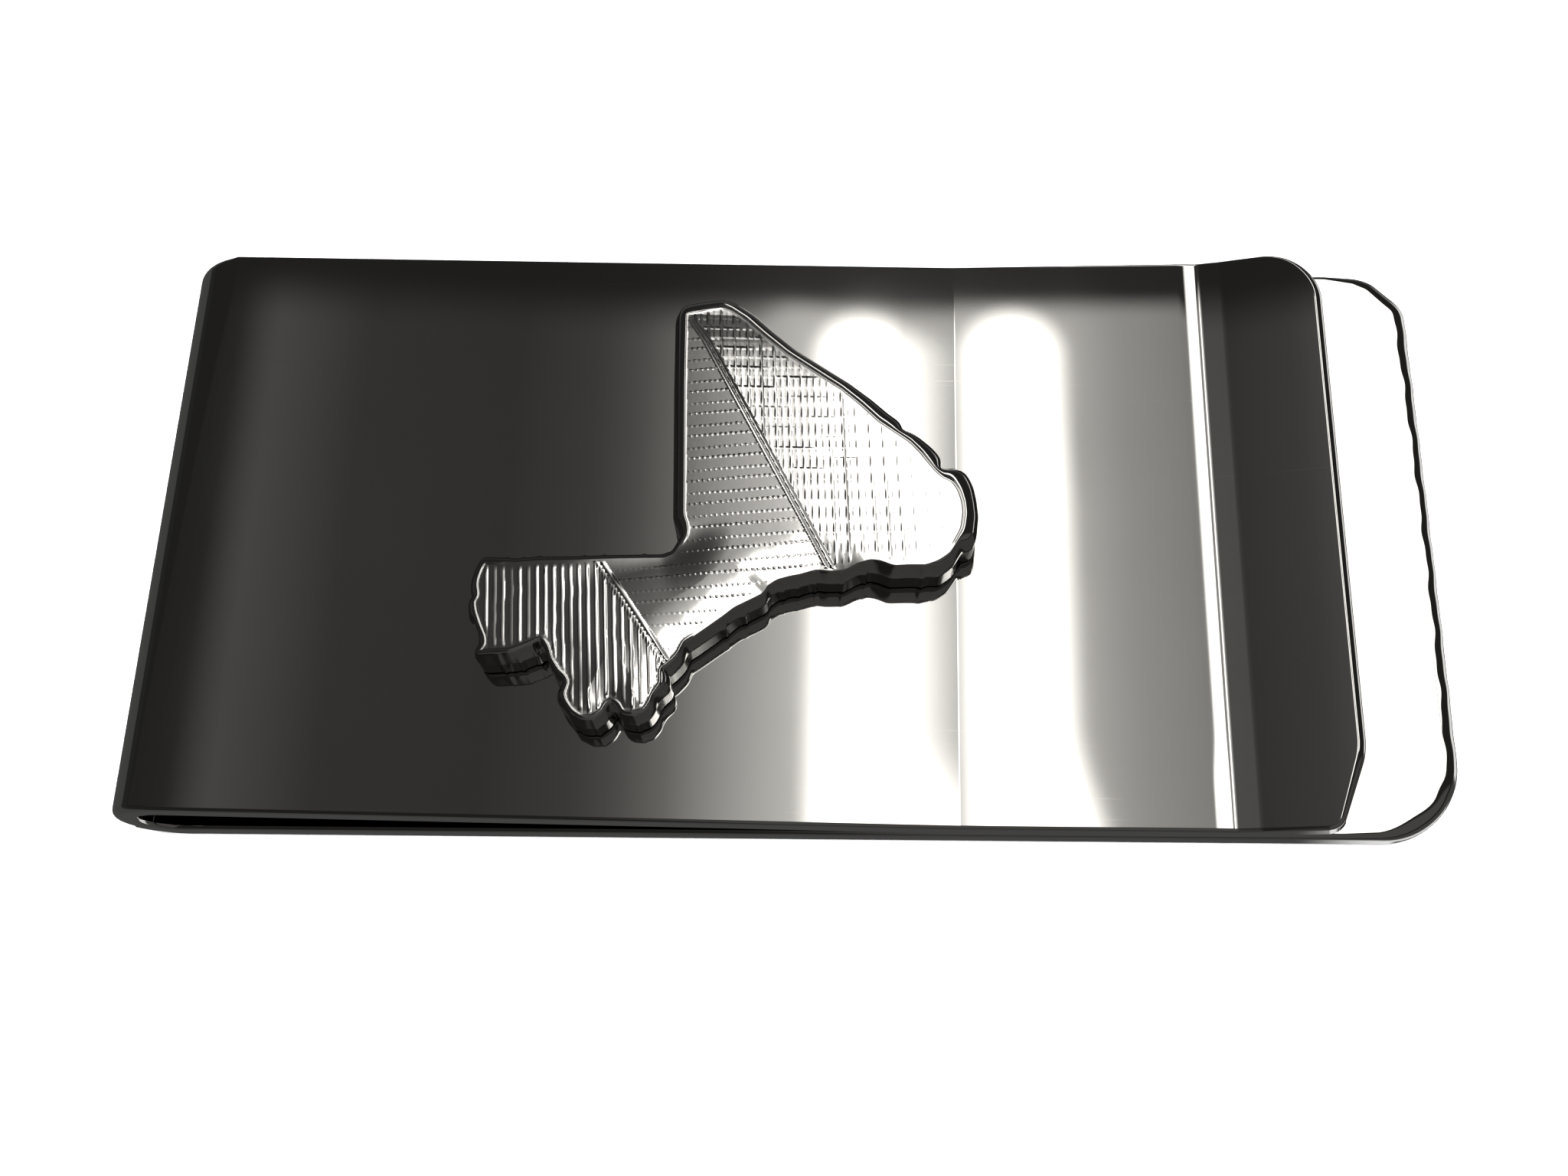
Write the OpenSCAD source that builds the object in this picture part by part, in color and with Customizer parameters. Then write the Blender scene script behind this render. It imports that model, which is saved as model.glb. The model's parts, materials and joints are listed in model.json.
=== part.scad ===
// Money clip: one strip of polished spring steel folded back on itself, with a
// map-shaped pendant bonded to the outside of its front leaf.
// The clip lies on its back leaf. The fold is at -X, the mouth at +X, up is +Z.

/* [Strip] */
// Overall length, from the outside of the fold to the end of the back leaf
clip_length = 53.5; // [53:0.5:60]
// Width of the strip
strip_w = 25; // [22:0.5:30]
// Thickness of the strip
strip_t = 1.0; // [0.8:0.05:1.1]
// Plan radius of the corners at the end of the back leaf
back_corner_r = 3.2; // [1:0.1:5]
// Plan radius of the corners at the end of the lip
lip_corner_r = 3.0; // [1:0.1:5]

/* [Fold and grip] */
// Outside height of the fold
bend_h = 4.6; // [4.2:0.1:6]
// Gap left between the leaves where they meet
leaf_gap = 0.2; // [0.15:0.05:0.4]
// Distance from the grip line to the end of the back leaf
grip_setback = 9; // [8.5:0.5:9.5]
// Length of the stretch beside the grip line where the front leaf runs nearly level
level_len = 10.5; // [8:0.5:10.5]
// How far the front leaf still falls over that level stretch
level_fall = 0.12; // [0.06:0.02:0.3]

/* [Lip] */
// Length of the lip beyond the grip line
lip_len = 4.9; // [4:0.1:7]
// Angle at which the lip lifts away from the back leaf
lip_angle = 12; // [2:0.5:20]

/* [Pendant] */
// Overall thickness of the pendant
pendant_t = 2.2; // [1.5:0.1:3]
// Height and width of the stepped shoulder around its face
shoulder = 0.3; // [0.1:0.05:0.4]
// Distance along the leaf from the fold's centre to the outline's own zero
pendant_start = 11.9; // [10:0.1:12]
// Thickness of the adhesive film under the pendant
film_t = 0.1; // [0.05:0.05:0.2]
// How far the film stays inside the pendant's face outline
film_inset = 0.3; // [0.1:0.1:0.5]

/* [Hidden] */
$fn = 96;

// Longer than any clip: the reach of cutting shapes
reach = 100;

bend_r = bend_h / 2;
fold_x = bend_r - clip_length / 2;
back_end_x = clip_length / 2;

grip_x = back_end_x - grip_setback;
grip_z = 2 * strip_t + leaf_gap;
knee_x = grip_x - level_len;
knee_z = grip_z + level_fall;
tip_x = grip_x + lip_len;
tip_z = grip_z + lip_len * tan(lip_angle);

// The front leaf leaves the fold along the tangent that passes through the knee
knee_dx = knee_x - fold_x;
knee_dz = knee_z - bend_r;
leaf_fall = asin(bend_r / norm([knee_dx, knee_dz])) - atan2(knee_dz, knee_dx);
level_angle = atan2(level_fall, level_len);

// Face outline of the pendant, clockwise from its top left corner
map_outline = [
    [8.3, 8.7], [9.9, 9.1], [11, 8.6], [12.2, 7.5], [13.7, 6.1], [15.2, 4.9], [17.3, 3.2],
    [18.5, 2.1], [18.6, 1.7], [18.9, 1.4], [19.3, 1.2], [19.6, 0.6], [19.7, -0.3],
    [19.6, -1.2], [19.2, -2], [18.6, -2.4], [17.4, -2.4], [16.2, -2.2], [15.3, -2.6],
    [13.6, -2.8], [12.5, -3], [12, -3.4], [11.6, -3.9], [10.4, -4.5], [9.1, -5.5],
    [8.1, -6.7], [7.9, -7.6], [7.5, -8.3], [6.9, -8.6], [6.3, -8.3], [5.9, -8.4],
    [5.4, -8.9], [4.8, -8.8], [4.3, -8.3], [4, -7.1], [3.4, -5.9], [3, -5.8],
    [2, -6.3], [0.7, -6.4], [0.8, -5.4], [0.4, -4.4], [0, -3.5], [0.5, -3.4],
    [0.7, -2.4], [8.2, -2.2], [8.6, -1.7], [8.8, -0.8]
];

// A surface that falls at this angle towards +X faces this way, as [x, z]
function facing(fall) = [sin(fall), cos(fall)];

// Stands its children, drawn as [x, z], across the strip's whole width
module across_strip() {
    rotate([90, 0, 0]) linear_extrude(strip_w, center = true) children();
}

// Plan of a strip from start_x to end_x, with round corners at end_x
module plan_with_round_end(start_x, end_x, r) {
    translate([start_x, -strip_w / 2]) square([end_x - r - start_x, strip_w]);
    translate([start_x, r - strip_w / 2]) square([end_x - start_x, strip_w - 2 * r]);
    for (side = [-1, 1])
        translate([end_x - r, side * (strip_w / 2 - r)]) circle(r);
}

// Puts its children on the outside face of the front leaf
module on_front_leaf() {
    translate([fold_x, 0, bend_r])
        rotate([0, leaf_fall, 0])
            translate([pendant_start, 0, bend_r])
                children();
}

module back_leaf() {
    color("silver")
        linear_extrude(strip_t)
            plan_with_round_end(fold_x, back_end_x, back_corner_r);
}

module spring_bend() {
    color("silver")
        translate([fold_x, 0, bend_r])
            across_strip()
                difference() {
                    circle(bend_r);
                    circle(bend_r - strip_t);
                    polygon([[0, 0], [0, -reach], [reach, -reach], [reach, reach],
                             [reach * tan(leaf_fall), reach]]);
                }
}

module front_leaf() {
    root = [fold_x, bend_r] + bend_r * facing(leaf_fall);
    outside = [root, [knee_x, knee_z], [grip_x, grip_z], [tip_x, tip_z]];
    falls = [leaf_fall, (leaf_fall + level_angle) / 2, (level_angle - lip_angle) / 2, -lip_angle];
    inside = [for (i = [3:-1:0]) outside[i] - strip_t * facing(falls[i])];
    color("silver")
        intersection() {
            across_strip() polygon(concat(outside, inside));
            linear_extrude(reach)
                plan_with_round_end(fold_x, tip_x, lip_corner_r);
        }
}

module adhesive_film() {
    color("ivory")
        on_front_leaf()
            linear_extrude(film_t)
                offset(delta = -film_inset) polygon(map_outline);
}

module map_pendant() {
    color("gainsboro")
        on_front_leaf()
            translate([0, 0, film_t]) {
                linear_extrude(pendant_t - shoulder)
                    offset(r = shoulder, $fn = 16) polygon(map_outline);
                translate([0, 0, pendant_t - shoulder])
                    linear_extrude(shoulder) polygon(map_outline);
            }
}

back_leaf();
spring_bend();
front_leaf();
adhesive_film();
map_pendant();
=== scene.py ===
import json
import math

import bpy
import numpy as np
from mathutils import Matrix, Vector
from mathutils.geometry import delaunay_2d_cdt


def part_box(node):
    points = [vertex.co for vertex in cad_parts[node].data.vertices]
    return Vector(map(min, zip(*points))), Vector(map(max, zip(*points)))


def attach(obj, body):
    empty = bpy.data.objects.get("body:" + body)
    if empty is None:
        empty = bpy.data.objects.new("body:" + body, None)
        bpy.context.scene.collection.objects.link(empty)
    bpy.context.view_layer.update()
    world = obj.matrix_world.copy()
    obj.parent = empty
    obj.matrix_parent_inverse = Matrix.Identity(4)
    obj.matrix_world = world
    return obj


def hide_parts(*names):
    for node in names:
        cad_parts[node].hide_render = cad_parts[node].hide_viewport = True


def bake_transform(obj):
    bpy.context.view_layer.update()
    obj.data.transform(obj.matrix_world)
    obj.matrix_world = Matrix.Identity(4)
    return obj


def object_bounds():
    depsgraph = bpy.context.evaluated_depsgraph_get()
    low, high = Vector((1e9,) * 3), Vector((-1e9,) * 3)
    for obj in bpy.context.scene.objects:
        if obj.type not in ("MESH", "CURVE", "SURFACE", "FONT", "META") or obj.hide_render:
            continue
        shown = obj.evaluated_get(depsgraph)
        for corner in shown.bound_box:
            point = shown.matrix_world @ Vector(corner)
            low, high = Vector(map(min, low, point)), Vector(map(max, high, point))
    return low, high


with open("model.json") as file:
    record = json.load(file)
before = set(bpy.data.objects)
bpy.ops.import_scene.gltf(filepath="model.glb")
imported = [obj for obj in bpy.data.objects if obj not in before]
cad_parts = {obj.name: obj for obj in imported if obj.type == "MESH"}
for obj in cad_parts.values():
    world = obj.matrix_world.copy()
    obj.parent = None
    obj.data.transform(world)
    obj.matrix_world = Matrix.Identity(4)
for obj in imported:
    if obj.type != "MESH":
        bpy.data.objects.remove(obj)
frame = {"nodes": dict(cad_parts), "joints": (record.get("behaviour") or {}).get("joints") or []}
cad_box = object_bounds()
scene = bpy.context.scene

# Lengths in this file are in mm and are turned into metres as each mesh is made.
MM = 0.001


def box_mm(node):
    low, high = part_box(node)
    return np.array(low) / MM, np.array(high) / MM


# ---------------------------------------------------------------- measures of the frame
back_low, back_high = box_mm("back_leaf")
front_high = box_mm("front_leaf")[1]
hinge = next(j for j in frame["joints"] if j["name"] == "front_leaf_flex")

THICK = back_high[2] - back_low[2]
HALF_W = back_high[1]
FOLD_X, FOLD_Z = hinge["pos_m"][0] / MM, hinge["pos_m"][2] / MM
FOLD_R = FOLD_Z
BACK_END = back_high[0]
TIP = front_high[0]

# The same driving values as the CAD
LEAF_GAP = 0.2
GRIP_SETBACK = 9
LEVEL_LEN = 10.5
LEVEL_FALL = 0.12
LIP_ANGLE = math.radians(12)
PENDANT_START = 11.9

GRIP = (BACK_END - GRIP_SETBACK, 2 * THICK + LEAF_GAP)
KNEE = (GRIP[0] - LEVEL_LEN, GRIP[1] + LEVEL_FALL)
knee_dx, knee_dz = KNEE[0] - FOLD_X, KNEE[1] - FOLD_Z
LEAF_FALL = math.asin(FOLD_R / math.hypot(knee_dx, knee_dz)) - math.atan2(knee_dz, knee_dx)
LEVEL_ANGLE = math.atan2(LEVEL_FALL, LEVEL_LEN)

# Where the three strip pieces meet: on flat metal, clear of the fold
SEAM = FOLD_X + 3
# Corners at the open end, near side then far side. Each is a flat ground off, as (length in x,
# width in y), with a rounding at the side and one at the end, as radii.
LIP_CORNERS = ((1.1, 3.0, 0.7, 3.0), (1.38, 1.38, 2.3, 2.3))
BACK_CORNERS = ((1.87, 1.87, 3.1, 3.1), (1.55, 1.55, 1.5, 1.5))
KNEE_WIDTH = 0.06
# The leaf already bends a little on its way to the knee
KNEE_LEAD = 2.2
LEAD_BEND = math.radians(0.7)
# The crease at the grip line: the leaf dips a little before it turns up into the lip
CREASE_START = GRIP[0] - 0.9
CREASE_DIP = math.radians(3.6)


# ---------------------------------------------------------------- node helpers
class Nodes:
    """Builds a node tree from short calls. Values may be sockets or numbers."""

    def __init__(self, tree):
        self.tree = tree
        tree.nodes.clear()

    def new(self, kind, **values):
        node = self.tree.nodes.new(kind)
        for key, value in values.items():
            setattr(node, key, value)
        return node

    def put(self, socket, value):
        if isinstance(value, bpy.types.NodeSocket):
            self.tree.links.new(value, socket)
        else:
            socket.default_value = value

    def math(self, operation, a, b=0.0, c=0.0, clamp=False):
        node = self.new("ShaderNodeMath", operation=operation, use_clamp=clamp)
        for socket, value in zip(node.inputs, (a, b, c)):
            self.put(socket, value)
        return node.outputs[0]

    def remap(self, value, a, b, to_a=0.0, to_b=1.0, smooth=True):
        node = self.new("ShaderNodeMapRange", clamp=True)
        node.interpolation_type = "SMOOTHSTEP" if smooth else "LINEAR"
        for socket, given in zip(node.inputs, (value, a, b, to_a, to_b)):
            self.put(socket, given)
        return node.outputs[0]

    def ramp(self, value, low, high, stops):
        """A grey level that follows stops, given as (value, level), between low and high."""
        where = self.remap(value, low, high, smooth=False)
        node = self.new("ShaderNodeValToRGB")
        elements = node.color_ramp.elements
        while len(elements) < len(stops):
            elements.new(0.5)
        for element, (at, level) in zip(elements, stops):
            element.position = (at - low) / (high - low)
            element.color = (level, level, level, 1)
        self.put(node.inputs[0], where)
        return node.outputs[0]

    def noise(self, where, scale, detail=2.0, roughness=0.5, distortion=0.0):
        node = self.new("ShaderNodeTexNoise")
        self.put(node.inputs["Vector"], where)
        node.inputs["Scale"].default_value = scale
        node.inputs["Detail"].default_value = detail
        node.inputs["Roughness"].default_value = roughness
        node.inputs["Distortion"].default_value = distortion
        return node.outputs["Fac"]

    def mapped(self, where, turn=(0, 0, 0), scale=(1, 1, 1), shift=(0, 0, 0)):
        node = self.new("ShaderNodeMapping")
        self.put(node.inputs["Vector"], where)
        node.inputs["Location"].default_value = shift
        node.inputs["Rotation"].default_value = turn
        node.inputs["Scale"].default_value = scale
        return node.outputs[0]

    def mix(self, share, one, two):
        node = self.new("ShaderNodeMix", data_type="RGBA")
        self.put(node.inputs["Factor"], share)
        self.put(node.inputs["A"], (*one, 1))
        self.put(node.inputs["B"], (*two, 1))
        return node.outputs["Result"]

    def product(self, first, *others):
        for value in others:
            first = self.math("MULTIPLY", first, value)
        return first

    def bump(self, height, distance, normal=None):
        """Distance is the height in mm of a bump that goes from 0 to 1."""
        node = self.new("ShaderNodeBump")
        node.inputs["Distance"].default_value = distance * MM
        self.put(node.inputs["Height"], height)
        if normal is not None:
            self.put(node.inputs["Normal"], normal)
        return node.outputs[0]

    def surface(self, shader, kind="ShaderNodeOutputMaterial"):
        out = self.new(kind)
        self.put(out.inputs["Surface"], shader.outputs[0])


def new_material(name):
    material = bpy.data.materials.new(name)
    material.use_nodes = True
    return material, Nodes(material.node_tree)


def scratches(n, where, turn, share):
    """Sparse hairlines in one direction: 1 on a scratch and 0 off it."""
    lines = n.noise(n.mapped(where, (0, 0, turn), (40, 9000, 40)), 1.0, 0.0)
    patches = n.noise(n.mapped(where, (0, 0, turn), (140, 260, 140), (3, 7, 1)), 1.0, 1.0)
    line = n.remap(lines, 0.76 - share, 0.84 - share)
    return n.product(line, n.remap(patches, 0.56, 0.72))


def metal(name, tints, rough, wave, grain, marks):
    """Chrome plating. wave and grain are bump heights in mm, marks is how deep scratches are in grain."""
    material, n = new_material(name)
    where = n.new("ShaderNodeTexCoord").outputs["Object"]
    shader = n.new("ShaderNodeBsdfPrincipled")
    shader.inputs["Metallic"].default_value = 1.0
    cloud = n.noise(where, 160, 3.0)
    n.put(shader.inputs["Base Color"], n.mix(cloud, *tints))

    scratch = n.math(
        "MAXIMUM",
        scratches(n, where, 0.5, 0.0),
        n.math("MAXIMUM", scratches(n, where, 2.2, 0.0), scratches(n, where, 1.3, 0.01)),
    )
    scratch = n.product(scratch, marks)
    rough_here = n.remap(n.noise(where, 90, 2.0), 0.3, 0.7, *rough)
    n.put(
        shader.inputs["Roughness"],
        n.math("ADD", rough_here, n.product(scratch, 0.12), clamp=True),
    )
    swell = n.bump(n.noise(where, 110, 0.0), wave)
    fine = n.bump(n.math("SUBTRACT", n.noise(where, 2600, 2.0), scratch), grain, swell)
    n.put(shader.inputs["Normal"], fine)
    n.surface(shader)
    return material


strip_metal = metal(
    "polished_strip", tints=((0.585, 0.575, 0.555), (0.655, 0.645, 0.625)),
    rough=(0.02, 0.05), wave=0.004, grain=0.00004, marks=0.5,
)
pendant_metal = metal(
    "pendant_metal", tints=((0.63, 0.615, 0.595), (0.71, 0.70, 0.685)),
    rough=(0.05, 0.12), wave=0.003, grain=0.0008, marks=0.3,
)


def adhesive_material():
    material, n = new_material("adhesive")
    where = n.new("ShaderNodeTexCoord").outputs["Object"]
    shader = n.new("ShaderNodeBsdfPrincipled")
    n.put(
        shader.inputs["Base Color"],
        n.mix(n.noise(where, 700, 4.0), (0.62, 0.58, 0.44), (0.80, 0.77, 0.66)),
    )
    n.put(shader.inputs["Roughness"], n.remap(n.noise(where, 1500, 2.0), 0.3, 0.7, 0.35, 0.6))
    n.put(shader.inputs["Normal"], n.bump(n.noise(where, 3000, 3.0), 0.01))
    n.surface(shader)
    return material


# ---------------------------------------------------------------- mesh helper
def piece(name, points, faces, normals, material, flat_faces=()):
    """Makes one closed, smooth-shaded mesh. normals has one direction for each point."""
    mesh = bpy.data.meshes.new(name)
    mesh.from_pydata([tuple(MM * float(c) for c in p) for p in points], [], faces)
    mesh.materials.append(material)
    mesh.polygons.foreach_set("use_smooth", [True] * len(faces))
    flat = set(flat_faces)
    corners = []
    for polygon in mesh.polygons:
        if polygon.index in flat:
            corners += [polygon.normal.copy()] * polygon.loop_total
        else:
            corners += [normals[v] for v in polygon.vertices]
    mesh.normals_split_custom_set([tuple(c) for c in corners])
    mesh.update()
    obj = bpy.data.objects.new(name, mesh)
    scene.collection.objects.link(obj)
    return obj


# ---------------------------------------------------------------- strip
def between(start, end, count):
    return [start + (end - start) * i / count for i in range(count + 1)]


def step(x, a, b):
    t = np.clip((x - a) / (b - a), 0, 1)
    return t * t * (3 - 2 * t)


# Radii of the strip's edges, on the outside of the fold and on the inside
OUTER_RIM, INNER_RIM = 0.16, 0.18
RIM_STEPS = 8
CORNER_STEPS = 10
EDGE_STEPS = 120
ARC_STEPS = 64


def rim(top, low):
    """The edge of the strip, from its upper to its lower face, as (inset, depth, turn)."""
    profile = []
    for i in range(RIM_STEPS + 1):
        a = math.pi / 2 * i / RIM_STEPS
        profile.append((top * (1 - math.sin(a)), top * (1 - math.cos(a)), a))
    for i in range(RIM_STEPS + 1):
        a = math.pi / 2 * i / RIM_STEPS
        profile.append(
            (low * (1 - math.cos(a)), THICK - low * (1 - math.sin(a)), math.pi / 2 + a)
        )
    return profile


def corner_path(end, side, corner):
    """The corner at one side (-1 near, 1 far), going towards the end, as (x, y, out_x, out_y)."""
    length, width, side_round, end_round = corner
    turn = math.atan2(width, length)
    rest = math.pi / 2 - turn
    rounds = (
        (end - length - side_round * math.tan(turn / 2), HALF_W - side_round, side_round, 0, turn),
        (end - end_round, HALF_W - width - end_round * math.tan(rest / 2), end_round, turn, math.pi / 2),
    )
    path = []
    for x, y, radius, start, stop in rounds:
        for a in between(start, stop, CORNER_STEPS):
            c, s = math.cos(a), math.sin(a)
            path.append((x + radius * s, side * (y + radius * c), s, side * c))
    return path


def plate(name, height, fall, end, corners, stops, rim_at, material):
    """A strip piece from the seam to its rounded end. height(x) and fall(x) give its upper face."""
    sides = []
    for side, corner in zip((-1, 1), corners):
        straight = [(x, side * HALF_W, 0.0, float(side)) for x in stops]
        sides.append(straight + corner_path(end, side, corner))
    half = len(sides[0])
    low, high = sides[0][-1][1], sides[1][-1][1]
    path = sides[0] + [
        (end, low + (high - low) * i / EDGE_STEPS, 1.0, 0.0) for i in range(1, EDGE_STEPS)
    ] + sides[1][::-1]

    points, normals = [], []
    for x, y, nx, ny in path:
        for inset, depth, turn in rim_at(x, y):
            px, py = x - inset * nx, y - inset * ny
            f = fall(px)
            up = np.array([math.sin(f), 0, math.cos(f)])
            along = np.array([math.cos(f), 0, -math.sin(f)])
            points.append(np.array([px, py, height(px)]) - depth * up)
            out = nx * along + ny * np.array([0, 1.0, 0])
            normals.append(out * math.sin(turn) + up * math.cos(turn))

    count, ring = len(path), len(rim_at(*path[0][:2]))
    faces = []
    for j in range(count - 1):
        for i in range(ring - 1):
            a, b = j * ring + i, (j + 1) * ring + i
            faces.append((a, a + 1, b + 1, b))
    for row, flip in ((0, False), (ring - 1, True)):
        at = [j * ring + row for j in range(count)]
        for j in range(half - 2):
            face = (at[j], at[j + 1], at[count - 2 - j], at[count - 1 - j])
            faces.append(face[::-1] if flip else face)
        last = tuple(at[half - 2 : count - half + 2])
        faces.append(last[::-1] if flip else last)
    seam_edge = list(range(ring)) + [(count - 1) * ring + i for i in range(ring - 1, -1, -1)]
    faces.append(tuple(seam_edge[::-1]))
    return piece(name, points, faces, normals, material, flat_faces=[len(faces) - 1])


# The slope of the front leaf's upper face, as (x, fall), from the fold to the tip
FALLS = [
    (KNEE[0] - KNEE_LEAD, LEAF_FALL), (KNEE[0] - KNEE_WIDTH / 2, LEAF_FALL - LEAD_BEND),
    (KNEE[0] + KNEE_WIDTH / 2, LEVEL_ANGLE),
    (CREASE_START, LEVEL_ANGLE), (CREASE_START + 0.45, 0.95 * CREASE_DIP),
    (CREASE_START + 0.75, CREASE_DIP), (CREASE_START + 1.0, -0.76 * LIP_ANGLE),
    (CREASE_START + 1.75, -0.8 * LIP_ANGLE), (CREASE_START + 1.95, -LIP_ANGLE),
]


def front_fall(x):
    return float(np.interp(x, *zip(*FALLS)))


grid_x = np.linspace(FOLD_X, TIP + 1, 6001)
grid_fall = np.array([front_fall(x) for x in grid_x])
tangent_z = FOLD_Z + FOLD_R * math.cos(LEAF_FALL) + FOLD_R * math.sin(LEAF_FALL) * math.tan(LEAF_FALL)
grid_steps = np.diff(grid_x) * -np.tan((grid_fall[1:] + grid_fall[:-1]) / 2)
grid_z = tangent_z + np.concatenate([[0], np.cumsum(grid_steps)])


def front_height(x):
    return float(np.interp(x, grid_x, grid_z))


def front_rim(x, y):
    return rim(OUTER_RIM + 0.16 * step(x, TIP - 1.5, TIP), INNER_RIM)


def back_rim(x, y):
    """The upper rim of the back leaf grows rounder at its end, most at the corners, and unevenly."""
    worn = 0.2 + 0.26 * (y / HALF_W) ** 2 + 0.04 * math.sin(2.3 * y + 1) + 0.02 * math.sin(5.1 * y)
    top = INNER_RIM + 0.06 * step(x, 12, 19) + worn * step(x, BACK_END - 4, BACK_END - 1.5)
    return rim(top, OUTER_RIM)


front = plate(
    "strip_front", front_height, front_fall, TIP, LIP_CORNERS,
    sorted([SEAM, SEAM + 8, 2, KNEE[0] - KNEE_LEAD, KNEE[0] + 2, KNEE[0] + 5, TIP - 2.6]
           + between(KNEE[0] - KNEE_WIDTH / 2, KNEE[0] + KNEE_WIDTH / 2, 3)
           + between(CREASE_START, CREASE_START + 0.75, 10)
           + between(CREASE_START + 0.75, CREASE_START + 1.0, 10)[1:]
           + between(CREASE_START + 1.75, CREASE_START + 1.95, 4)),
    front_rim, strip_metal,
)
back = plate(
    "strip_back", lambda x: THICK, lambda x: 0.0, BACK_END, BACK_CORNERS,
    [SEAM, SEAM + 10, 0, 10] + [12 + i for i in range(11)] + [23.4],
    back_rim, strip_metal,
)


def fold_piece():
    """The U-shaped fold with a flat stretch at each end, as rings of points across the strip."""
    stations = [(SEAM - i, 0.0, -math.pi / 2) for i in range(4)]
    for i in range(1, ARC_STEPS + 1):
        a = -math.pi / 2 - (math.pi + LEAF_FALL) * i / ARC_STEPS
        stations.append((FOLD_X + FOLD_R * math.cos(a), FOLD_Z + FOLD_R * math.sin(a), a))
    top_x = stations[-1][0]
    for i in range(1, 4):
        x = top_x + (SEAM - top_x) * i / 3
        stations.append((x, front_height(x), stations[-1][2]))
    points, normals, faces = [], [], []
    for x, z, a in stations:
        out = np.array([math.cos(a), 0, math.sin(a)])
        # Bending has rounded the outer edges, most on the far side
        worn = max(0.0, (FOLD_X - x) / FOLD_R) ** 0.5 if z > FOLD_Z - 1 else 0.0
        for side in (-1, 1):
            profile = rim(OUTER_RIM + (0.5 if side > 0 else 0.2) * worn, INNER_RIM)
            for inset, depth, turn in profile if side < 0 else profile[::-1]:
                points.append(
                    np.array([x, side * (HALF_W - inset), z]) - depth * out
                )
                normals.append(
                    out * math.cos(turn) + np.array([0, side, 0]) * math.sin(turn)
                )
    ring = 2 * len(profile)
    for j in range(len(stations) - 1):
        for i in range(ring):
            m = (i + 1) % ring
            faces.append((j * ring + i, j * ring + m, (j + 1) * ring + m, (j + 1) * ring + i))
    last = (len(stations) - 1) * ring
    faces.append(tuple(range(ring))[::-1])
    faces.append(tuple(range(last, last + ring)))
    return piece(
        "strip_fold", points, faces, normals, strip_metal,
        flat_faces=[len(faces) - 2, len(faces) - 1],
    )


fold = fold_piece()

# ---------------------------------------------------------------- pendant
COS_F, SIN_F = math.cos(LEAF_FALL), math.sin(LEAF_FALL)


def to_leaf(point):
    """Row frame to (u along the leaf, y, height over it), with u as in the pendant's outline."""
    x, z = point[0] - FOLD_X, point[2] - FOLD_Z
    return (x * COS_F - z * SIN_F - PENDANT_START, point[1], x * SIN_F + z * COS_F - FOLD_R)


def from_leaf(u, y, h):
    a, b = u + PENDANT_START, h + FOLD_R
    return (FOLD_X + a * COS_F + b * SIN_F, y, FOLD_Z - a * SIN_F + b * COS_F)


def leaf_direction(nu, ny, nh):
    d = np.array([nu * COS_F + nh * SIN_F, ny, -nu * SIN_F + nh * COS_F])
    return d / np.linalg.norm(d)


# The pendant's hatched face, seen square on, as (u, y): a map, clockwise from its upper left
FACE_EDGE = [
    (8.2, 8.7), (9.0, 8.9), (9.8, 9.05), (10.2, 8.9), (10.8, 8.5), (11.6, 7.75), (12.6, 6.9),
    (13.6, 6.2), (14.9, 5.3), (15.7, 4.6), (16.45, 3.85), (17.15, 3.35), (17.7, 2.95),
    (18.15, 2.45), (18.4, 2.1), (18.7, 1.7), (19.0, 1.4), (19.4, 1.2), (19.65, 0.8),
    (19.8, 0.3), (19.85, -0.2), (19.75, -0.9), (19.5, -1.4), (19.2, -1.9), (18.8, -2.2),
    (18.3, -2.4), (17.7, -2.4), (17.0, -2.45), (16.5, -2.25), (16.1, -2.2), (15.6, -2.35),
    (15.1, -2.65), (14.5, -2.7), (13.95, -2.65), (13.35, -2.85), (12.9, -2.95), (12.4, -3.1),
    (12.0, -3.4), (11.85, -3.7), (11.4, -3.95), (10.75, -4.3), (10.35, -4.65), (9.65, -5.2),
    (9.2, -5.55), (8.85, -5.8), (8.65, -6.3), (8.3, -6.7), (8.0, -6.9), (8.05, -7.5),
    (7.75, -7.95), (7.65, -8.3), (7.45, -8.6), (7.0, -8.75), (6.6, -8.7), (6.45, -8.4),
    (6.2, -8.2), (6.0, -8.3), (5.85, -8.65), (5.55, -8.9), (5.05, -8.95), (4.65, -8.7),
    (4.35, -8.3), (4.25, -8.0), (4.4, -7.55), (4.25, -7.3), (4.0, -7.1), (3.7, -6.65),
    (3.55, -6.2), (3.3, -5.8), (2.8, -6.05), (2.1, -6.35), (1.35, -6.4), (0.8, -6.45),
    (1.05, -6.1), (1.0, -5.8), (0.75, -5.3), (0.55, -4.8), (0.45, -4.35), (0.6, -4.1),
    (0.5, -3.7), (0.5, -3.4), (0.6, -3.0), (0.75, -2.65), (2.0, -2.7), (2.9, -2.6),
    (4.4, -2.55), (5.9, -2.45), (7.9, -2.35), (8.3, -2.15), (8.5, -1.8), (8.75, -1.3),
    (8.7, -0.9), (8.55, -0.5), (8.45, 1.9), (8.3, 5.4),
]
# How far the wall stands out of the face, along the upper right and round the right lobe
FLARE = [
    (8.2, 0.5), (10.5, 0.5), (13.0, 0.45), (15.0, 0.5), (16.6, 0.6), (17.0, 0.55), (17.2, 0.3),
    (17.45, 0.42), (17.9, 0.5), (18.4, 0.58), (18.6, 0.5), (18.75, 0.2), (18.9, 0.45),
    (19.1, 0.65), (19.4, 0.75), (19.65, 0.65), (19.85, 0.55),
]
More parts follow.
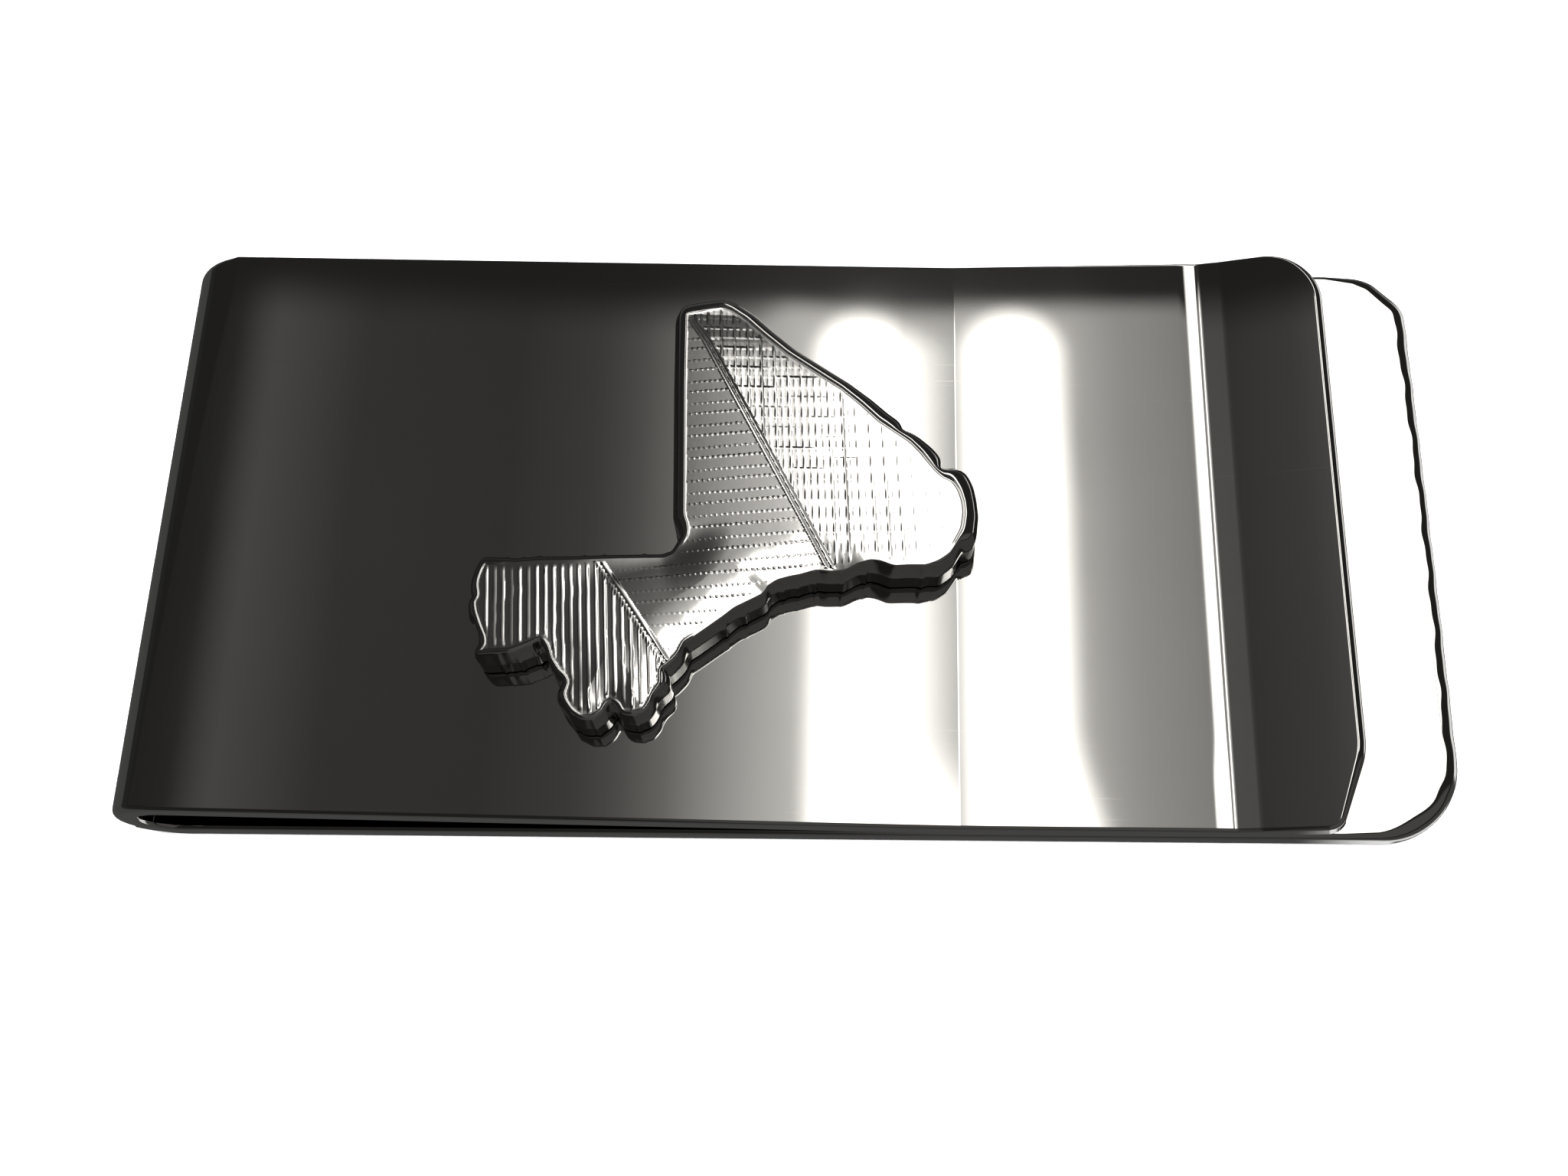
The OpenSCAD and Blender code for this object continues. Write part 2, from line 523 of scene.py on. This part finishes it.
# Upright flutes in the wall below the face, as u
FLUTES = [1.6, 2.3, 2.9, 4.7, 5.5, 7.1, 10.3, 11.1, 12.6, 13.2, 13.9, 15.0, 15.9, 18.2]


def resampled(loop, pitch):
    closed = np.vstack([loop, loop[:1]])
    length = np.concatenate([[0], np.cumsum(np.hypot(*np.diff(closed, axis=0).T))])
    count = int(round(length[-1] / pitch))
    s = np.linspace(0, length[-1], count, endpoint=False)
    return np.stack([np.interp(s, length, closed[:, i]) for i in (0, 1)], axis=1)


def blurred(loop, passes):
    for _ in range(passes):
        loop = 0.25 * np.roll(loop, 1, axis=0) + 0.5 * loop + 0.25 * np.roll(loop, -1, axis=0)
    return loop


def outward(loop):
    d = np.roll(loop, -1, axis=0) - np.roll(loop, 1, axis=0)
    n = np.stack([d[:, 1], -d[:, 0]], axis=1)
    return n / np.linalg.norm(n, axis=1, keepdims=True)


def distance_to(loop, points):
    """Distance from each point to the closed line, and the direction away from the line."""
    a, b = loop, np.roll(loop, -1, axis=0)
    ab = b - a
    best, away = np.full(len(points), 1e9), np.zeros((len(points), 2))
    for start in range(0, len(points), 2000):
        p = points[start : start + 2000, None, :]
        t = np.clip(((p - a) * ab).sum(2) / (ab * ab).sum(1), 0, 1)
        gap = p - (a + t[..., None] * ab)
        square = (gap * gap).sum(2)
        at = square.argmin(axis=1)
        rows = np.arange(len(at))
        best[start : start + 2000] = np.sqrt(square[rows, at])
        away[start : start + 2000] = gap[rows, at]
    return best, away / np.maximum(best, 1e-9)[:, None]


def inside(loop, points):
    x, y = points[:, 0, None], points[:, 1, None]
    a, b = loop, np.roll(loop, -1, axis=0)
    crosses = (a[:, 1] > y) != (b[:, 1] > y)
    with np.errstate(divide="ignore", invalid="ignore"):
        at = a[:, 0] + (y - a[:, 1]) * (b[:, 0] - a[:, 0]) / (b[:, 1] - a[:, 1])
    return (np.where(crosses & (x < at), 1, 0).sum(1) % 2) == 1


# The long ridge and the short ridge that part the three hatched fields, as (u, y)
LONG_RIDGE = [(8.4, 8.6), (9.2, 7.4), (14.5, -2.6), (14.6, -2.8)]
SHORT_RIDGE = [(5.1, -2.2), (8.3, -6.8), (8.4, -7.0)]
# Height of the face over the leaf
FACE_H = 2.3

# The hatch, as (height of a line, its width, its pitch)
RIB = (0.0125, 0.17, 0.334)
DASH = (0.008, 0.13, 0.5)
DASH_LENGTH = 0.21
BAR = (0.007, 0.15, 0.27)
CROSSBAR = (0.003, 0.12, 0.46)
RIDGE_HEIGHT, RIDGE_WIDTH = 0.012, 0.19
# The raised lip inside the border
LIP_INSET, LIP_HALF_WIDTH = 0.09, 0.075


def lump(x, half_width):
    """1 at x = 0, falling smoothly to 0 at half_width."""
    return np.where(np.abs(x) < half_width, 0.5 + 0.5 * np.cos(np.pi * x / half_width), 0.0)


def ridge_at(line, y):
    line = sorted((b, a) for a, b in line)
    return np.interp(y, [p[0] for p in line], [p[1] for p in line])


def nearest_line(x, pitch, wobble):
    """Offset from the nearest of a set of lines, and that line's number."""
    number = np.round((x + wobble) / pitch)
    return (x + wobble) - number * pitch, number


def hashed(number, salt):
    return np.modf(np.abs(np.sin(number * 12.9898 + salt * 78.233) * 43758.5453))[0]


def fields(u, y):
    """Whether each point is in the upper right field, and in the lower left one."""
    upper = u > ridge_at(LONG_RIDGE, y)
    lower = (y < -2.0) & (u < ridge_at(SHORT_RIDGE, y))
    return upper, lower


def graved(off, width, steep=0.22):
    """A raised line: a steep flank before its crest and a gentle, rounded one after it."""
    x = off / width + 0.5
    rise = np.clip(x / steep, 0, 1)
    fall = np.clip((1 - x) / (1 - steep), 0, 1)
    return np.where(x < steep, rise * rise * (3 - 2 * rise), 1 - (1 - fall) ** 1.6) * (x > 0) * (x < 1)


def ground(u, y, d):
    """The face without its lines: it rolls off at the border and falls from the long ridge."""
    near = np.clip(1.9 - d, 0, 1.2)
    roll = near * near / 2.4 + np.clip(0.7 - d, 0, 0.7)
    ridge = ridge_at(LONG_RIDGE, y)
    past = u - ridge
    low_right = 1 - step(y + 0.35 * (12 - u), -1.2, 0.4)
    rolled = step(u, 3, 5.5) * low_right * (1 - 0.88 * step(past, 0, 1.6))
    reach = np.maximum(13.5 - ridge, 0.05)
    s = np.clip(past, 0, reach)
    fall = 0.044 * reach / 4.5 * (s - s * s / (2 * reach))
    return -0.035 - 0.09 * roll * rolled - fall + 0.0045 * np.clip(u - 15, 0, 5) ** 2


def ribs(u, y):
    """Lower left field: upright ribs, strong and weak in turn at its left end."""
    height, width, pitch = RIB
    wobble = 0.006 * np.sin(2.1 * y) + 0.004 * np.sin(5.3 * y)
    off, number = nearest_line(0.9968 * u + 0.0804 * y - 3.97, pitch, wobble)
    weak = (np.mod(number, 2) > 0.5) & (u < 3.2)
    share = np.where(weak, 0.65, 1.0 + 0.1 * np.clip(3.2 - u, 0, 3))
    return height * (0.8 + 0.4 * hashed(number, 1)) * share * graved(off, width)


def dashes(u, y):
    """Middle field: rows of short dashes, strong and weak in turn."""
    height, width, pitch = DASH
    off, number = nearest_line(0.9938 * y - 0.1115 * u, pitch, 0.02)
    weak = np.mod(number, 2) > 0.5
    off = off + np.where(weak, 0.06, 0.0)
    phase = (u + 0.4 * off + hashed(number, 2)) / DASH_LENGTH
    dash = np.clip(0.2 + np.cos(2 * np.pi * phase), 0, 1)
    grow = np.clip((u - 7.5) / 3, 0.15, 1)
    return height * np.where(weak, 0.6, 1.0) * graved(-off, width, 0.4) * (0.12 + dash * grow)


def crossed(u, y):
    """Upper right field: crossed lines, fading to the lower right."""
    fade = np.clip(1.1 - (u - 9 - 0.35 * (9 - y)) / 6, 0.14, 0.9)
    height, width, pitch = BAR
    off, number = nearest_line(0.998 * u + 0.061 * y, pitch, 0)
    pair = np.where(np.mod(number, 2) > 0.5, 0.35, 1.0)
    bars = height * (0.6 + 0.8 * hashed(number, 4)) * pair * graved(off, width) * fade
    height, width, pitch = CROSSBAR
    off, number = nearest_line(y - 0.018 * u, pitch, 0)
    return np.maximum(bars, height * (0.5 + hashed(number, 5)) * graved(-off, width, 0.3) * fade)


def relief(u, y, d):
    """Height of the hatched face over its nominal plane; d is the distance to its border."""
    upper, lower = fields(u, y)
    lines = np.where(upper, crossed(u, y), np.where(lower, ribs(u, y), dashes(u, y)))
    lines = lines * np.clip((d - 0.14) / 0.2, 0, 1)
    h = ground(u, y, d) + lines

    # The two ridges are pairs of fine lines on clear ground
    for line, top_y in ((LONG_RIDGE, 8.4), (SHORT_RIDGE, -2.3)):
        (ua, ya), (ub, yb) = line[-3], line[-2]
        across = (u - ridge_at(line, y)) / math.hypot(1, (ub - ua) / (yb - ya))
        on = (y > -9) & (y < top_y)
        pair = graved(across - 0.1, RIDGE_WIDTH) + graved(across + 0.1, RIDGE_WIDTH)
        h = np.where((np.abs(across) < 0.2) & on, h - lines, h)
        h = h + np.where(on, RIDGE_HEIGHT * pair * np.clip((d - 0.06) / 0.1, 0, 1), 0)

    # The lip along the border is highest on the straight left edge and at the lower left
    left = np.clip((y + 1.8) / 0.8, 0, 1) * np.clip((9.4 - u) / 0.6, 0, 1)
    corner = np.clip((-5.4 - y) / 0.6, 0, 1) + np.clip((1.6 - u) / 0.5, 0, 1)
    right = (u - ridge_at(LONG_RIDGE, y) > 0.5) & (y > -1.5)
    lip = 0.02 * np.clip(left + corner, 0, 1) + 0.006 * right
    return h + lip * lump(d - LIP_INSET, LIP_HALF_WIDTH)


# Profiles of the wall from its foot up, as (share of its reach, drop from the face). The foot's
# drop is None. One has a small round shoulder, the other, for the upper right, a broad one.
STEEP_WALL = [
    (1.0, None), (1.0, 0.9), (0.98, 0.72), (0.93, 0.62), (0.62, 0.26), (0.5, 0.17), (0.3, 0.08),
    (0.12, 0.025), (0.0, 0.0),
]
BROAD_WALL = [
    (1.0, None), (1.0, 0.9), (1.0, 0.6), (0.98, 0.45), (0.85, 0.27), (0.62, 0.14), (0.36, 0.05),
    (0.14, 0.01), (0.0, 0.0),
]


def wall_reach(edge, normals):
    """How far the wall stands out of the face at each point of its edge."""
    (u, y), (nu, ny) = edge.T, normals.T
    upper_right = (ny > 0.1) & (u > 8) & (y > 0) | (u > 19.4) & (y > -1.2)
    reach = np.where(upper_right, np.interp(u, *zip(*FLARE)), 0.3)
    reach = np.where((u < 9) & (y > -0.5) & (nu < -0.6), 0.4, reach)
    reach = np.where((ny < -0.35) & (u < 18.6), 0.14, reach)
    # In a notch it stays within the notch's own radius
    closing = np.roll(normals, -4, axis=0) - np.roll(normals, 4, axis=0)
    along = np.roll(edge, -4, axis=0) - np.roll(edge, 4, axis=0)
    bend = (closing * along).sum(1) / (along * along).sum(1)
    reach = np.minimum(reach, np.where(bend < 0, 0.6 / np.maximum(-bend, 1e-3), 9))
    reach = blurred(reach[:, None], 6)[:, 0]
    for at in FLUTES:
        reach = reach + np.where(y < -2, 0.05 * np.clip(1 - np.abs(u - at) / 0.13, 0, 1), 0)
    return reach


def wall_points(edge, foot):
    """Rings of points up the wall, as (u, y, height), ending on the edge of the face."""
    normals = outward(blurred(edge, 12))
    reach = wall_reach(edge, normals)
    broad = step(normals[:, 0] * 0.57 + normals[:, 1] * 0.82, -0.1, 0.5)
    top = FACE_H + relief(edge[:, 0], edge[:, 1], np.zeros(len(edge)))
    points = []
    for (share_a, drop_a), (share_b, drop_b) in zip(STEEP_WALL, BROAD_WALL):
        share = share_a + (share_b - share_a) * broad
        ring = edge + normals * (reach * share)[:, None]
        if drop_a is None:
            height = np.full(len(edge), foot)
        else:
            height = top - drop_a - (drop_b - drop_a) * broad
        points += [(p[0], p[1], h) for p, h in zip(ring, height)]
    return points


def face_points(edge):
    """Points over the face: a grid in each field, as fine as its hatch, and rings by the edge."""
    low, high = edge.min(0), edge.max(0)
    found = []
    for wanted, du, dy in (("upper", 0.045, 0.07), ("lower", 0.034, 0.16), ("middle", 0.053, 0.042)):
        grid = np.meshgrid(np.arange(low[0], high[0], du), np.arange(low[1], high[1], dy), indexing="ij")
        p = np.stack([axis.ravel() for axis in grid], axis=1)
        if wanted == "lower":
            # In line with the ribs
            p[:, 0] -= 0.0806 * p[:, 1]
        upper, lower = fields(p[:, 0], p[:, 1])
        p = p[np.where(upper, "upper", np.where(lower, "lower", "middle")) == wanted]
        found.append(p[inside(edge, p)])
    found = np.vstack(found)
    found = found[distance_to(edge, found)[0] > 0.2]
    normals = outward(blurred(edge, 2))
    for inset in (0.03, 0.06, 0.09, 0.12, 0.16):
        ring = edge - normals * inset
        keep = inside(edge, ring) & (distance_to(edge, ring)[0] > inset * 0.8)
        found = np.vstack([ring[keep], found])
    return found


def face_triangles(edge, inner):
    """Joins the edge and the inner points. Points come back in order, those of the edge first."""
    count = len(edge)
    points, _, triangles, _, _, _ = delaunay_2d_cdt(
        [Vector(p) for p in edge] + [Vector(p) for p in inner],
        [(i, (i + 1) % count) for i in range(count)], [], 1, 1e-7,
    )
    points = np.array([tuple(p) for p in points])
    assert np.allclose(points[:count], edge, atol=1e-5)
    upward = []
    for triangle in triangles:
        a, b, c = (points[v] for v in triangle)
        turn = (b[0] - a[0]) * (c[1] - a[1]) - (b[1] - a[1]) * (c[0] - a[0])
        upward.append(triangle[::-1] if turn < 0 else triangle)
    return points, upward


def mesh_normals(points, faces):
    mesh = bpy.data.meshes.new("scratch")
    mesh.from_pydata(points, [], faces)
    normals = [np.array(v.normal) for v in mesh.vertices]
    bpy.data.meshes.remove(mesh)
    return normals


def relief_normals(uy, d, away):
    """Directions of the relief's surface. away is the direction in which d grows."""
    e = 0.004
    slopes = []
    for axis, shift in ((0, [e, 0]), (1, [0, e])):
        ahead, behind = uy + shift, uy - shift
        rise = relief(ahead[:, 0], ahead[:, 1], d + e * away[:, axis])
        rise = rise - relief(behind[:, 0], behind[:, 1], d - e * away[:, axis])
        slopes.append(rise / (2 * e))
    return [leaf_direction(-du, -dy, 1.0) for du, dy in zip(*slopes)]


def pendant():
    foot = min(to_leaf(np.array(v.co) / MM)[2] for v in frame["nodes"]["map_pendant"].data.vertices)
    edge = blurred(resampled(np.array(FACE_EDGE)[::-1], 0.07), 4)
    edge = edge + 0.04 * outward(blurred(edge, 4))
    count = len(edge)
    flat = wall_points(edge, foot)
    faces = []
    for j in range(len(STEEP_WALL) - 1):
        for i in range(count):
            m = (i + 1) % count
            faces.append((j * count + i, j * count + m, (j + 1) * count + m, (j + 1) * count + i))
    underside = len(faces)
    faces.append(tuple(range(count))[::-1])

    # The face takes up the wall's last ring as its edge
    points_2d, triangles = face_triangles(edge, face_points(edge))
    uy = points_2d[count:]
    first = len(flat) - count
    faces += [tuple(first + v for v in triangle) for triangle in triangles]
    d, away = distance_to(edge, uy)
    flat += [(p[0], p[1], FACE_H + h) for p, h in zip(uy, relief(uy[:, 0], uy[:, 1], d))]

    points = [from_leaf(*p) for p in flat]
    normals = mesh_normals(points, faces)
    normals[first + count :] = relief_normals(uy, d, away)
    return piece("pendant_map", points, faces, normals, pendant_metal, flat_faces=[underside])


pendant_piece = pendant()

# ---------------------------------------------------------------- camera
CAMERA_AT = (6.098, -25.478, 64.823)
LENS, SENSOR = 37.27, 36
# How far it looks down, to the right of +Y, and how far it is rolled
LOOK_DOWN, LOOK_RIGHT, ROLL = math.radians(69.22), math.radians(-14.52), math.radians(-13.88)


def make_camera():
    data = bpy.data.cameras.new("camera")
    data.lens = LENS
    data.sensor_width = SENSOR
    data.clip_start = 0.001
    data.clip_end = 10
    level = math.cos(LOOK_DOWN)
    ahead = Vector((math.sin(LOOK_RIGHT) * level, math.cos(LOOK_RIGHT) * level, -math.sin(LOOK_DOWN)))
    right = Vector((math.cos(LOOK_RIGHT), -math.sin(LOOK_RIGHT), 0))
    up = right.cross(ahead)
    right, up = (
        right * math.cos(ROLL) + up * math.sin(ROLL),
        up * math.cos(ROLL) - right * math.sin(ROLL),
    )
    camera = bpy.data.objects.new("camera", data)
    scene.collection.objects.link(camera)
    turn = Matrix((right, up, -ahead)).transposed().to_4x4()
    camera.matrix_world = Matrix.Translation(Vector(CAMERA_AT) * MM) @ turn
    scene.camera = camera


make_camera()
scene.view_settings.view_transform = "Standard"


# ---------------------------------------------------------------- stage and light
def plane(name, size, z, material):
    mesh = bpy.data.meshes.new(name)
    s = size / 2
    mesh.from_pydata([(-s, -s, z), (s, -s, z), (s, s, z), (-s, s, z)], [], [(0, 1, 2, 3)])
    mesh.materials.append(material)
    obj = bpy.data.objects.new(name, mesh)
    scene.collection.objects.link(obj)
    return obj


def floor_material():
    material, n = new_material("floor")
    where = n.new("ShaderNodeTexCoord").outputs["Object"]
    shader = n.new("ShaderNodeBsdfDiffuse")
    n.put(shader.inputs["Color"], n.mix(n.noise(where, 3.0), (0.90, 0.90, 0.90), (0.93, 0.93, 0.93)))
    n.surface(shader)
    return material


floor = plane("floor", 6.0, -0.00003, floor_material())
floor.visible_glossy = False

# The clip mirrors a dark ceiling, seen in a card over it, with a soft white panel and a white
# band. Places on the card are in mm: x from the fold's outside and y as in the frame.
CARD_Z = 300
# Colour ramps hold levels up to 1, so the ceiling's are stored as shares of this
RAMP_TOP = 2.4
# The ceiling's grey level across the card, as (x, level)
CEILING = [
    (-400, 0.005), (-94, 0.007), (-85, 0.078), (-76, 0.06), (-62, 0.03), (-25, 0.026), (-5, 0.046),
    (5, 0.087), (16, 0.19), (27, 0.4), (37, 0.6), (44, 0.72), (75, 0.6), (86, 0.42),
    (104, 0.3), (400, 0.3),
]
AMBIENT = 0.02
# The panel's left edge, its half width on the near side and beyond, its middle and half length
PANEL_LEFT, PANEL_HALF_NEAR, PANEL_HALF = 48.5, 15.0, 11.75
PANEL_Y, PANEL_HALF_LENGTH = 94.5, 85
PANEL_ROUND, PANEL_SOFT = 11.7, 4.4
WHITE = 2.2


def panel_level(n, x, y):
    """1 on a rounded rectangle with soft edges, which grows wider on the near side."""
    half = n.remap(y, 40, 75, PANEL_HALF_NEAR, PANEL_HALF)
    middle = n.math("ADD", half, PANEL_LEFT)
    dx = n.math("SUBTRACT", n.math("ABSOLUTE", n.math("SUBTRACT", x, middle)), half)
    qx = n.math("MAXIMUM", n.math("ADD", dx, PANEL_ROUND), 0.0)
    from_middle = n.math("ABSOLUTE", n.math("SUBTRACT", y, PANEL_Y))
    qy = n.math("MAXIMUM", n.math("SUBTRACT", from_middle, PANEL_HALF_LENGTH - PANEL_ROUND), 0.0)
    reach = n.math("SQRT", n.math("ADD", n.product(qx, qx), n.product(qy, qy)))
    return n.remap(n.math("SUBTRACT", reach, PANEL_ROUND), PANEL_SOFT, -PANEL_SOFT)


def card_material():
    material, n = new_material("card")
    where = n.new("ShaderNodeTexCoord").outputs["Object"]
    split = n.new("ShaderNodeSeparateXYZ")
    n.put(split.inputs[0], where)
    x = n.math("MULTIPLY_ADD", split.outputs[0], 1 / MM, -cad_box[0][0] / MM)
    y = n.math("MULTIPLY", split.outputs[1], 1 / MM)

    # The ceiling fades out on both sides and ends where the white band begins
    steps = n.ramp(x, CEILING[0][0], CEILING[-1][0], [(at, level / RAMP_TOP) for at, level in CEILING])
    far = n.remap(y, n.remap(x, 28, 42, 170.0, 178.0), 186, 1.0, 0.03)
    begins = n.remap(x, n.remap(y, 75, 60, 121.0, 111.0), n.remap(y, 75, 60, 131.0, 119.0))
    ceiling = n.product(steps, RAMP_TOP, far, n.remap(y, 10, 44), n.math("SUBTRACT", 1.0, begins))
    band = n.product(begins, n.math("SUBTRACT", 1.0, n.remap(x, 164, 172)), n.remap(y, 34, 44), WHITE)
    near_glow = n.product(n.remap(x, -20, 40, 0.0, 0.065), n.remap(y, 0, -60))
    total = n.math("ADD", ceiling, AMBIENT)
    for light in (near_glow, band, n.product(panel_level(n, x, y), WHITE)):
        total = n.math("ADD", total, light)
    shader = n.new("ShaderNodeEmission")
    n.put(shader.inputs["Strength"], total)
    shader.inputs["Color"].default_value = (1.0, 0.985, 0.955, 1)
    n.surface(shader)
    return material


card = plane("card", 2.4, CARD_Z * MM, card_material())
card.visible_camera = card.visible_diffuse = card.visible_shadow = False

sun_data = bpy.data.lights.new("sun", "SUN")
sun_data.energy = 7.0
sun_data.angle = 1.0
sun = bpy.data.objects.new("sun", sun_data)
sun.visible_glossy = False
scene.collection.objects.link(sun)

# Grey levels that the clip mirrors round about, under and over the horizon
GREY_UNDER, GREY_OVER = 0.073, 0.0245
BEHIND = 1.2


def make_world():
    world = bpy.data.worlds.new("world")
    world.use_nodes = True
    scene.world = world
    n = Nodes(world.node_tree)
    split = n.new("ShaderNodeSeparateXYZ")
    n.put(split.inputs[0], n.new("ShaderNodeTexCoord").outputs["Generated"])
    x, y, z = split.outputs
    level = n.ramp(z, -1, 1, [(-1, GREY_UNDER), (-0.02, GREY_UNDER), (0.02, GREY_OVER), (1, GREY_OVER)])
    # A lit strip low down beyond the open mouth
    strip = n.product(
        n.remap(z, -0.62, -0.52), n.remap(z, 0.02, -0.02), n.remap(x, 0.5, 0.8), n.remap(y, 0.02, 0.12)
    )
    # The lit table on the near side, beyond the mouth
    table = n.product(n.remap(z, -0.5, -0.65), n.remap(x, 0.21, 0.26), n.remap(y, -0.08, -0.15), 0.9)
    level = n.math("ADD", n.math("ADD", level, strip), table)
    around = n.new("ShaderNodeBackground")
    n.put(around.inputs["Color"], level)
    # The camera itself sees plain white
    behind = n.new("ShaderNodeBackground")
    behind.inputs["Color"].default_value = (1, 1, 1, 1)
    behind.inputs["Strength"].default_value = BEHIND
    mix = n.new("ShaderNodeMixShader")
    n.put(mix.inputs[0], n.new("ShaderNodeLightPath").outputs["Is Camera Ray"])
    n.put(mix.inputs[1], around.outputs[0])
    n.put(mix.inputs[2], behind.outputs[0])
    n.surface(mix, "ShaderNodeOutputWorld")


make_world()

# ---------------------------------------------------------------- bodies
film = frame["nodes"]["adhesive_film"]
film.data.materials.clear()
film.data.materials.append(adhesive_material())

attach(back, "back")
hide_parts("back_leaf")
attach(front, "front")
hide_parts("front_leaf")
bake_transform(fold)
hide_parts("spring_bend")
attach(pendant_piece, "front")
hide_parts("map_pendant")
